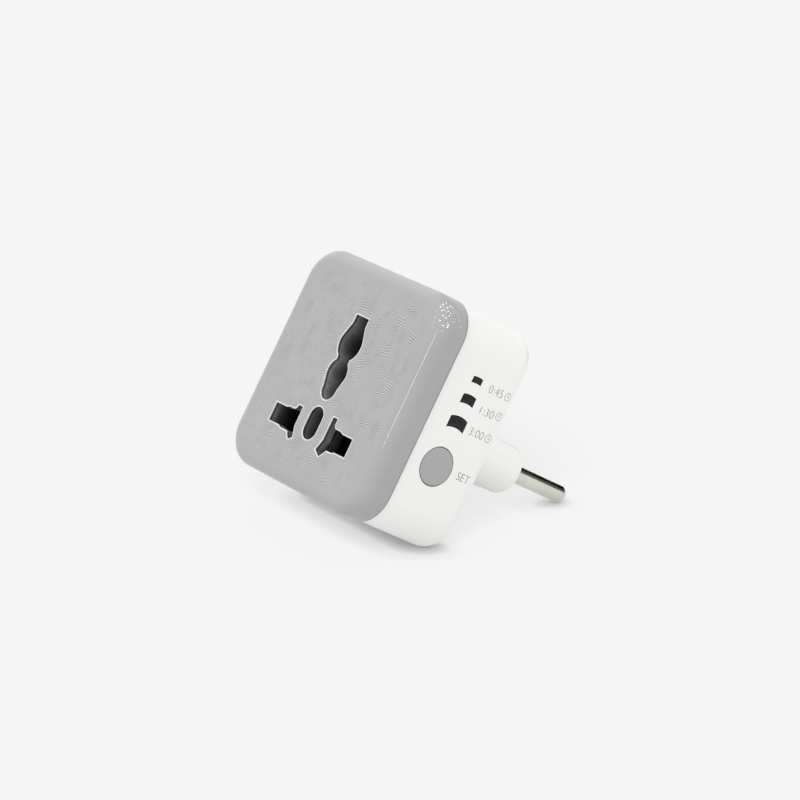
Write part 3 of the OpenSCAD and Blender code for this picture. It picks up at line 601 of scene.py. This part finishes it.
def cover_grey():
    """Glossy grey plastic; its flat face has faint pressed triangles and scattered patches of fine hatching."""
    m = Recipe("cover_grey", (0.384, 0.384, 0.384), 0.35, coat=1.0, coat_rough=0.035, specular=0.0)
    x, y, z = m.axes()
    up = m.math("SUBTRACT", z, MIDDLE)

    # Rows of small triangles, every other row set half a step along
    step = 5.65
    raised = m.plus(up, 40.7)
    odd = m.math("MODULO", m.math("FLOOR", m.math("DIVIDE", raised, step)), 2)
    along = m.math("MODULO", m.plus(x, 119.2, m.times(odd, step)), 2 * step)
    rise = m.math("MODULO", raised, step)
    inside = m.times(
        m.math("LESS_THAN", along, 5.5),
        m.math("LESS_THAN", rise, m.times(along, 0.76)),
        m.spread(m.noise(6, 2), 0.0, 1.0, 0.42, 0.62),
    )

    # Hatching in patches, each patch with its own direction
    cell, pitch = 2.6, 0.58
    cells = m.node("ShaderNodeTexVoronoi", voronoi_dimensions="3D", feature="F1")
    cells.inputs["Scale"].default_value = 1
    flat = m.node("ShaderNodeVectorMath", operation="MULTIPLY")
    m.link(m.place, flat.inputs[0])
    flat.inputs[1].default_value = (1 / cell, 0.0, 1 / cell)
    m.link(flat.outputs[0], cells.inputs["Vector"])
    pick = m.node("ShaderNodeSeparateColor")
    m.link(cells.outputs["Color"], pick.inputs[0])
    turn = m.math("SUBTRACT", m.times(pick.outputs[0], 0.9), 0.75)
    across = m.plus(m.times(x, m.math("SINE", turn)), m.times(up, m.math("COSINE", turn)))
    wave = m.times(m.math("SUBTRACT", m.noise(0.9, 1), 0.5), 3.5)
    hatch = m.math("SINE", m.plus(m.times(across, 2 * math.pi / pitch), wave))
    chosen = m.spread(pick.outputs[1], 0.0, 1.0, 0.74, 0.88)
    patch = m.times(chosen, m.spread(cells.outputs["Distance"], 1.0, 0.0, 0.4, 0.62))

    # Both stay on the flat of the face, and the hatching is stronger to the right and at the foot
    on_face = m.math("LESS_THAN", y, FACE + 0.05)
    reach = m.math("MAXIMUM", m.math("ABSOLUTE", x), m.math("ABSOLUTE", up))
    field = m.times(on_face, m.math("LESS_THAN", reach, 21.3))
    lean = m.math("ADD", m.spread(x, 0.3, 1.0, -15, 3), m.spread(up, 0.4, 0.0, -22, -12), clamp=True)
    hatching = m.times(hatch, m.times(m.plus(m.times(patch, lean), 0.04), field))
    mark = m.plus(m.times(inside, field, -0.045), m.times(hatching, 0.32))
    smudge = m.times(m.spread(m.noise(2.6, 2, 0.6), 0.015, -0.09, 0.5, 0.72), field)
    tone = m.plus(m.spread(m.noise(7, 3), 0.98, 1.02), smudge, mark)

    # Painted shade: the skin is darker along the back rim, where the cover meets the housing
    tone = m.times(tone, m.spread(y, 1.0, 0.6, SEAM - 0.42, SEAM - 0.24))
    m.paint(m.shade(tone))
    m.gloss(m.spread(m.noise(3, 3), 0.3, 0.4))
    m.relief((hatching, 0.006), (m.noise(0.4, 2), 0.003), (m.noise(16, 2), 0.02))

    # Pebbled skin at the top right corner of the face
    pebbles = m.node("ShaderNodeTexVoronoi", voronoi_dimensions="3D", feature="F1")
    m.link(m.place, pebbles.inputs["Vector"])
    pebbles.inputs["Scale"].default_value = 1 / 1.25
    dome = m.math("SUBTRACT", 0.16, m.math("POWER", pebbles.outputs["Distance"], 2))
    away = m.node("ShaderNodeVectorMath", operation="DISTANCE")
    m.link(m.place, away.inputs[0])
    away.inputs[1].default_value = (23.6, -44.6, MIDDLE + 21.3)
    pebble = m.times(dome, m.spread(away.outputs["Value"], 1.0, 0.0, 3.0, 4.2))
    skin = m.node("ShaderNodeBump")
    skin.inputs["Strength"].default_value = 1
    skin.inputs["Distance"].default_value = 0.55 * MM
    m.link(pebble, skin.inputs["Height"])
    m.link(skin.outputs[0], m.shader.inputs["Coat Normal"])
    return m.material


def housing_skin():
    """White satin plastic, with painted light over the top of the pin boss and on a narrow strip next to the cover.
    """
    m = Recipe("housing_white", (0.888, 0.888, 0.873), 0.33, coat=0.05, specular=0.42)
    _, y, z = m.axes()
    # Painted light: the top of the pin boss is lighter, and so is a narrow strip just behind the cover
    boss = m.times(m.spread(y, 0.0, 1.0, BACK + 0.5, BACK + 3), m.spread(z, -0.075, 0.08, -5.6, 4.5))
    painted_strip_light = m.spread(y, 0.02, 0.0, SEAM + 0.4, SEAM + 1.0)
    tone = m.plus(boss, painted_strip_light, m.spread(m.noise(9, 4), 0.994, 1.006))
    m.paint(m.shade(m.times(tone, m.spread(m.noise(0.5, 2), 0.997, 1.003))))
    m.gloss(m.spread(m.noise(4, 3), 0.29, 0.38))
    m.relief((m.noise(0.3, 2), 0.003), (m.noise(14, 2), 0.009))
    return m.material


def rim_highlight():
    """The same grey made lighter: a painted highlight round the rounded edges of the holes."""
    m = Recipe("rim_highlight", (0.74, 0.74, 0.74), 0.3)
    m.paint(m.shade(m.spread(m.noise(0.9, 3), 0.86, 1.12)))
    m.relief((m.noise(0.3, 2), 0.003))
    return m.material


def hole_shade(m, x, z):
    """Painted shade in the openings: the middle hole is darkest, the earth slot's lower half lightest."""
    lower = m.math("MINIMUM", m.spread(z, 0.6, 1.4, -4.8, -3.2), m.spread(z, 1.4, 1.0, 4, 8))
    central = m.spread(m.math("ABSOLUTE", x), 1.0, 0.0, 3.2, 3.8)
    return m.math("MULTIPLY_ADD", m.math("SUBTRACT", lower, 1.0), central, 1.0)


def hole_wall_shade():
    """Walls of the cover's openings, painted dark as shade, with painted shade that varies from hole to hole."""
    m = Recipe("hole_wall_shade", (0.1, 0.1, 0.101), 0.5, specular=0.3)
    x, _, z = m.axes()
    m.paint(m.shade(m.times(hole_shade(m, x, z), m.spread(m.noise(1.2, 3), 0.88, 1.12))))
    m.gloss(m.spread(m.noise(4, 3), 0.43, 0.57))
    m.relief((m.noise(0.35, 2), 0.005))
    return m.material


def socket_depth_shade():
    """Dark plastic with painted shade that grows darker with depth."""
    m = Recipe("socket_depth_shade", (0.27, 0.27, 0.272), 0.55, specular=0.3)
    x, y, z = m.axes()
    # Painted shade: lighter near the rim, falling off with depth at a rate that differs between the openings
    depth = m.math("SUBTRACT", m.math("SUBTRACT", y, FACE), m.spread(x, 0.8, 2.75, 3, 4.4))
    rate = m.plus(m.spread(x, -0.31, -1.47, 3, 4.4), m.spread(x, -0.28, 0.0, -4.4, -3))
    shade_with_depth = m.math("MAXIMUM", m.math("POWER", 2.718, m.times(depth, rate)), 0.012)
    shade_with_depth = m.math("MINIMUM", shade_with_depth, m.spread(x, 2.0, 0.85, 3, 4.4))
    m.paint(m.shade(m.times(shade_with_depth, hole_shade(m, x, z), m.spread(m.noise(1.2, 3), 0.85, 1.15))))
    m.relief((m.noise(0.35, 2), 0.006))
    return m.material


def board_green():
    """Circuit board: green resist over faint copper tracks on a square grid, with woven glass under it."""
    resist, raised, pitch = (0.03, 0.17, 0.07), (0.06, 0.26, 0.11), 1.6
    m = Recipe("board_green", resist, 0.35, coat=0.3)
    x, y, z = m.axes()
    grid = []
    for v in (x, m.plus(z, y)):
        off_centre = m.math("SUBTRACT", m.math("MODULO", m.plus(v, 100), pitch), pitch / 2)
        grid.append(m.math("LESS_THAN", m.math("ABSOLUTE", off_centre), 0.26))
    lanes = m.spread(m.noise(6, 0), 0, 1, 0.49, 0.5)
    tracks = m.plus(m.times(grid[0], lanes), m.times(grid[1], m.math("SUBTRACT", 1, lanes)))
    m.paint(m.shade(m.spread(m.noise(3, 3), 0.93, 1.07), m.blend(tracks, resist, raised)))
    m.relief((tracks, 0.02), (m.noise(0.4, 2), 0.004))
    return m.material


def wound_copper():
    """Fine enamelled wire laid side by side along the coil."""
    m = Recipe("wound_copper", (0.62, 0.25, 0.1), 0.3, metal=0.9, coat=0.4)
    wire = 0.16
    turns = m.math("SINE", m.times(m.axes()[1], 2 * math.pi / wire))
    m.paint(m.shade(m.times(m.spread(turns, 0.8, 1.1, -1, 1), m.spread(m.noise(1.5, 3), 0.92, 1.08))))
    m.relief((turns, 0.03))
    return m.material


def banded(name, colour, band, centre, pitch, width):
    """Lacquered body with colour bands round it, spaced along X."""
    m = Recipe(name, colour, 0.35, coat=0.3)
    across = m.plus(m.axes()[0], 100 - centre)
    near = m.math("ABSOLUTE", m.math("SUBTRACT", m.math("MODULO", across, pitch), pitch / 2))
    band_mask = m.math("LESS_THAN", near, width)
    m.paint(m.shade(m.spread(m.noise(2, 3), 0.93, 1.07), m.blend(band_mask, colour, band)))
    m.relief((m.noise(0.6, 2), 0.01))
    return m.material


def smoked():
    """Dark glossy plastic with a faint cloud in it and small rub marks."""
    m = Recipe("smoked", (0.009, 0.009, 0.0095), 0.15, specular=0.22)
    m.paint(m.shade(m.spread(m.noise(1.6, 3), 0.5, 2.2)))
    m.gloss(m.spread(m.noise(0.7, 3), 0.1, 0.26))
    m.relief((m.noise(2.2, 2), 0.012))
    return m.material


def window_gap_shade():
    """Matt black on the sides of each window's raised bar: painted shade in the gap round the bar."""
    m = Recipe("window_gap_shade", (0.004, 0.004, 0.004), 0.7, specular=0.1)
    m.paint(m.shade(m.spread(m.noise(0.6, 2), 0.5, 1.6)))
    m.relief((m.noise(0.3, 2), 0.004))
    return m.material


def give(material, *names):
    for name in names:
        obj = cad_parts[name]
        obj.data.materials.clear()
        obj.data.materials.append(material)


def dress(obj, body, material, replaces=()):
    if material:
        obj.data.materials.append(material)
    if replaces:
        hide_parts(*replaces)
    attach(obj, body)
    return obj


# ---- The timer ----

housing_white = housing_skin()
plated = drawn_metal("plated_pin", (0.69, 0.7, 0.62), 0.16, run=(1, 0.08, 1))
print_grey = moulded("print_grey", (0.19, 0.19, 0.186), 0.6, vary=0.1)

finishes = [cover_grey(), hole_wall_shade(), rim_highlight()]
cover = dress(make_cover(finishes), "case", None, ["front_cover"])
dress(make_housing(), "case", housing_white, ["rear_housing"])
button_grey = moulded("button_grey", (0.39, 0.39, 0.39), 0.42, grain=0.25, vary=0.02)
dress(make_button(), "button", button_grey, ["set_button"])
live_plug_pin = make_pin("live_plug_pin", PIN)
neutral_plug_pin = copy_to(live_plug_pin, "neutral_plug_pin", (-2 * PIN, 0, 0))
dress(live_plug_pin, "case", plated, ["live_pin"])
dress(neutral_plug_pin, "case", plated, ["neutral_pin"])
lens = dress(make_lens(), "case", smoked(), ["window_lens"])
lens.data.materials.append(window_gap_shade())
# The bars' sides get the painted shade
past_strip = 23.6 * MM
for face in lens.data.polygons:
    if face.center.x > past_strip and face.normal.x < 0.98:
        face.material_index = 1

# Printed times, each with a small clock, and the button's word
marks = [
    make_mark("mark_045", "0:45", -27.0, -22.9, 13.5, 15.3, -0.02),
    make_mark("mark_130", "1:30", -26.75, -22.8, 8.65, 10.35, -0.02),
    make_mark("mark_300", "3:00", -27.0, -22.85, 3.7, 5.4, -0.02),
    make_mark("mark_set", "SET", -24.8, -21.2, -6.15, -4.4, -0.014),
]
marks += make_clocks([("clock_045", -21.3, 14.4), ("clock_130", -21.2, 9.8), ("clock_300", -21.35, 4.6)])
for mark in marks:
    dress(mark, "case", print_grey)

# Solid pieces that keep their shape and take a finish
# The contacts carry painted shade that darkens deeper in the socket
contact_alloy = drawn_metal("contact_alloy", (0.34, 0.32, 0.29), 0.42, run=(1, 0.1, 1), depth_shade=(2.6, 0.15, -43.3, -41))
give(contact_alloy, "live_contact", "neutral_contact")
give(drawn_metal("terminal_brass", (0.5, 0.42, 0.28), 0.38, run=(1, 0.1, 1)), "relay_terminals")
give(drawn_metal("screw_steel", (0.5, 0.51, 0.52), 0.32), "case_screws")
give(drawn_metal("dome_steel", (0.62, 0.63, 0.64), 0.2), "switch_dome")
give(drawn_metal("soft_iron", (0.42, 0.43, 0.44), 0.38), "relay_core", "relay_yoke", "relay_armature")
give(drawn_metal("copper_leaf", (0.7, 0.42, 0.22), 0.28), "moving_contact", "fixed_contact")
give(socket_depth_shade(), "socket_carrier")
give(moulded("cream_plastic", (0.62, 0.58, 0.48), 0.5), "carrier_cap", "switch_plunger", "relay_bobbin")
black_resin = moulded("black_resin", (0.018, 0.018, 0.02), 0.55, depth=0.01, vary=0.1)
give(black_resin, "timer_chip", "switch_body", "relay_base", "bridge_rectifier", "chip_resistors")
give(moulded("relay_blue", (0.03, 0.11, 0.42), 0.45), "relay_case")
give(moulded("shield_white", (0.78, 0.78, 0.76), 0.5), "light_shield")
give(moulded("lamp_resin", (0.8, 0.74, 0.5), 0.2, coat=0.5), "indicator_lamps")
give(moulded("film_yellow", (0.64, 0.36, 0.04), 0.3, coat=0.3, vary=0.05), "film_capacitor")
give(moulded("varistor_blue", (0.05, 0.15, 0.42), 0.4, grain=0.7, depth=0.02, vary=0.06), "varistor")
give(moulded("brown_sleeve", (0.2, 0.09, 0.045), 0.45), "live_lead")
give(moulded("blue_sleeve", (0.04, 0.16, 0.42), 0.45), "neutral_lead")
give(board_green(), "main_board", "side_board")
give(wound_copper(), "relay_winding")
fuse_lacquer = banded("fuse_lacquer", (0.2, 0.34, 0.2), (0.35, 0.06, 0.03), centre=0.4, pitch=2.1, width=0.3)
can_sleeve = banded("can_sleeve", (0.02, 0.03, 0.09), (0.55, 0.55, 0.52), centre=12.4, pitch=60, width=0.8)
give(fuse_lacquer, "fuse_resistor")
give(can_sleeve, "storage_capacitor")


# ---- Floor, light and camera ----

TILT = math.radians(28.2)  # lean of the floor against the part's own frame
UP = Vector((0, -math.sin(TILT), math.cos(TILT)))
FLOOR = -0.01036  # the floor's distance from the origin along UP, in metres
PALE = 0.921  # brightness of the backdrop
SKY = 0.955  # brightness of the even light


def floor_material():
    """Pale floor seen from above only, so that a camera under it looks straight through."""
    m = bpy.data.materials.new("pale_floor")
    tree = bare_tree(m)
    nodes, links = tree.nodes, tree.links
    out = nodes.new("ShaderNodeOutputMaterial")
    matt = nodes.new("ShaderNodeBsdfDiffuse")
    matt.inputs["Color"].default_value = (0.045, 0.045, 0.045, 1)
    fill = nodes.new("ShaderNodeEmission")
    fill.inputs["Color"].default_value = (1, 1, 1, 1)

    def contact(reach, share, rest):
        """Brightness that falls by a share where something stands within reach."""
        near = nodes.new("ShaderNodeAmbientOcclusion")
        near.samples = 12
        near.inputs["Distance"].default_value = reach
        return combine(tree, "MULTIPLY_ADD", near.outputs["AO"], share, rest)

    tight = contact(0.006, 0.2, contact(0.003, 0.34, 0.255))
    wide = contact(0.03, 0.33, 0.465)
    seen = nodes.new("ShaderNodeLightPath")
    pick = nodes.new("ShaderNodeMix")
    links.new(seen.outputs["Is Camera Ray"], pick.inputs[0])
    links.new(wide, pick.inputs[2])
    links.new(tight, pick.inputs[3])
    links.new(pick.outputs[0], fill.inputs["Strength"])
    both = nodes.new("ShaderNodeAddShader")
    clear = nodes.new("ShaderNodeBsdfTransparent")
    which = nodes.new("ShaderNodeNewGeometry")
    mix = nodes.new("ShaderNodeMixShader")
    links.new(matt.outputs[0], both.inputs[0])
    links.new(fill.outputs[0], both.inputs[1])
    links.new(which.outputs["Backfacing"], mix.inputs[0])
    links.new(both.outputs[0], mix.inputs[1])
    links.new(clear.outputs[0], mix.inputs[2])
    links.new(mix.outputs[0], out.inputs[0])
    return m


bpy.ops.object.select_all(action="DESELECT")
bpy.ops.mesh.primitive_plane_add(size=8, location=UP * FLOOR, rotation=(TILT, 0, 0))
floor = settle(named("floor"))
floor.data.materials.append(floor_material())
floor.visible_shadow = floor.visible_transmission = False


def dark_card():
    """Black card over the pins, seen only in reflections, that gives the bare metal its dark streak."""
    bpy.ops.object.select_all(action="DESELECT")
    bpy.ops.mesh.primitive_plane_add(size=1, location=(0.0015, 0.066, 0.05))
    bpy.context.object.scale = (0.115, 0.052, 1)
    card = settle(named("dark_card"))
    m = bpy.data.materials.new("dark_card")
    tree = bare_tree(m)
    nodes, links = tree.nodes, tree.links
    out = nodes.new("ShaderNodeOutputMaterial")
    glow = nodes.new("ShaderNodeEmission")
    place = nodes.new("ShaderNodeTexCoord")
    split = nodes.new("ShaderNodeSeparateXYZ")
    ramp = nodes.new("ShaderNodeMapRange")
    set_range(ramp, 0.0, 0.13, 0.012, 0.03)
    links.new(place.outputs["Object"], split.inputs[0])
    links.new(split.outputs["X"], ramp.inputs["Value"])
    links.new(ramp.outputs[0], glow.inputs["Strength"])
    links.new(glow.outputs[0], out.inputs[0])
    card.data.materials.append(m)
    card.visible_camera = card.visible_diffuse = card.visible_shadow = card.visible_transmission = False


dark_card()


def studio_world():
    """Even white light with a soft glow, behind a pale backdrop that the camera and the reflections see."""
    world = bpy.data.worlds.new("studio")
    bpy.context.scene.world = world
    tree = bare_tree(world)
    nodes, links = tree.nodes, tree.links

    # The glow lies high on the left, like a large diffuser
    where = nodes.new("ShaderNodeTexCoord")
    toward = nodes.new("ShaderNodeVectorMath")
    toward.operation = "DOT_PRODUCT"
    toward.inputs[1].default_value = Vector((-0.775, -0.262, 0.575)).normalized()
    links.new(where.outputs["Generated"], toward.inputs[0])
    glow = nodes.new("ShaderNodeMapRange")
    glow.interpolation_type = "SMOOTHSTEP"
    set_range(glow, 0.0, 0.42, 0.76, 1.0)
    links.new(toward.outputs["Value"], glow.inputs["Value"])

    path = nodes.new("ShaderNodeLightPath").outputs
    light, seen = nodes.new("ShaderNodeBackground"), nodes.new("ShaderNodeBackground")
    for shader in (light, seen):
        shader.inputs["Color"].default_value = (1, 1, 1, 1)
    mirrored = combine(tree, "MULTIPLY_ADD", glow.outputs[0], path["Is Glossy Ray"], PALE)
    links.new(combine(tree, "ADD", glow.outputs[0], SKY), light.inputs["Strength"])
    links.new(mirrored, seen.inputs["Strength"])
    direct = combine(tree, "MAXIMUM", path["Is Camera Ray"], path["Is Glossy Ray"])
    mix = nodes.new("ShaderNodeMixShader")
    links.new(combine(tree, "MAXIMUM", direct, path["Is Transmission Ray"]), mix.inputs[0])
    links.new(light.outputs[0], mix.inputs[1])
    links.new(seen.outputs[0], mix.inputs[2])
    out = nodes.new("ShaderNodeOutputWorld")
    links.new(mix.outputs[0], out.inputs[0])


studio_world()


def aim(direction):
    return Vector(direction).normalized().to_track_quat("Z", "Y")


def sun(name, direction, level, width):
    """A far lamp: level is the brightness of a white surface that faces it, and width is in degrees."""
    lamp = bpy.data.objects.new(name, bpy.data.lights.new(name, "SUN"))
    lamp.data.energy = level * math.pi
    lamp.data.angle = math.radians(width)
    lamp.rotation_mode = "QUATERNION"
    lamp.rotation_quaternion = aim(direction)
    bpy.context.collection.objects.link(lamp)
    return lamp


def panel(name, target, direction, distance, size, radiance, soft=True):
    """A rectangular lamp that faces a target in millimetres; its distance and size are in metres."""
    lamp = bpy.data.objects.new(name, bpy.data.lights.new(name, "AREA"))
    lamp.data.shape = "RECTANGLE"
    lamp.data.size, lamp.data.size_y = size
    lamp.data.energy = radiance * math.pi * size[0] * size[1]
    lamp.rotation_mode = "QUATERNION"
    lamp.rotation_quaternion = aim(direction)
    lamp.location = Vector(target) * MM + Vector(direction).normalized() * distance
    lamp.visible_diffuse = soft
    lamp.visible_camera = False
    bpy.context.collection.objects.link(lamp)
    return lamp


def light_on(lamp, obj, state="INCLUDE"):
    """Lets a lamp light one object alone, or with EXCLUDE everything but that object."""
    group = bpy.data.collections.new(lamp.name + "_on")
    group.objects.link(obj)
    lamp.light_linking.receiver_collection = group
    group.collection_objects[0].light_linking.link_state = state


# The floor's own lamp stands in front, so the shadow lies close under the case
floor_light = sun("floor_light", (0.58, -0.868, 0.303), level=2.6, width=22)
light_on(floor_light, floor)
front_soft_light = sun("front_soft_light", (0.1, -0.92, 0.36), level=0.19, width=40)
light_on(front_soft_light, floor, "EXCLUDE")

# Two lamps for the cover alone: a bright line down its right edge, and sparkles on its pebbled corner
edge_strip = panel(
    "edge_strip",
    target=(24.3, -45.9, 5.4),
    direction=(0.185, -0.983, 0.0),
    distance=1.0,
    size=(0.12, 0.064),
    radiance=6.5,
)
light_on(edge_strip, cover)
corner_light = panel(
    "corner_light",
    target=(22.8, -45.6, 24.4),
    direction=(0.4, -0.4, 0.91),
    distance=0.06,
    size=(0.027, 0.027),
    radiance=19,
    soft=False,
)
light_on(corner_light, cover)

# The camera's own axes and place
RIGHT = Vector((0.56957, 0.70233, 0.42699))
HIGH = Vector((-0.27365, -0.32781, 0.90424))
TOWARDS = Vector((0.77505, -0.63188, 0.00548))
PLACE = Vector((0.593776, -0.511299, 0.008168))
camera = bpy.data.objects.new("camera", bpy.data.cameras.new("camera"))
camera.data.lens = 158.17
camera.data.clip_start, camera.data.clip_end = 0.01, 50
camera.matrix_world = Matrix([(RIGHT[i], HIGH[i], TOWARDS[i], PLACE[i]) for i in range(3)] + [(0, 0, 0, 1)])
bpy.context.collection.objects.link(camera)
bpy.context.scene.camera = camera
bpy.context.scene.view_settings.view_transform = "Standard"
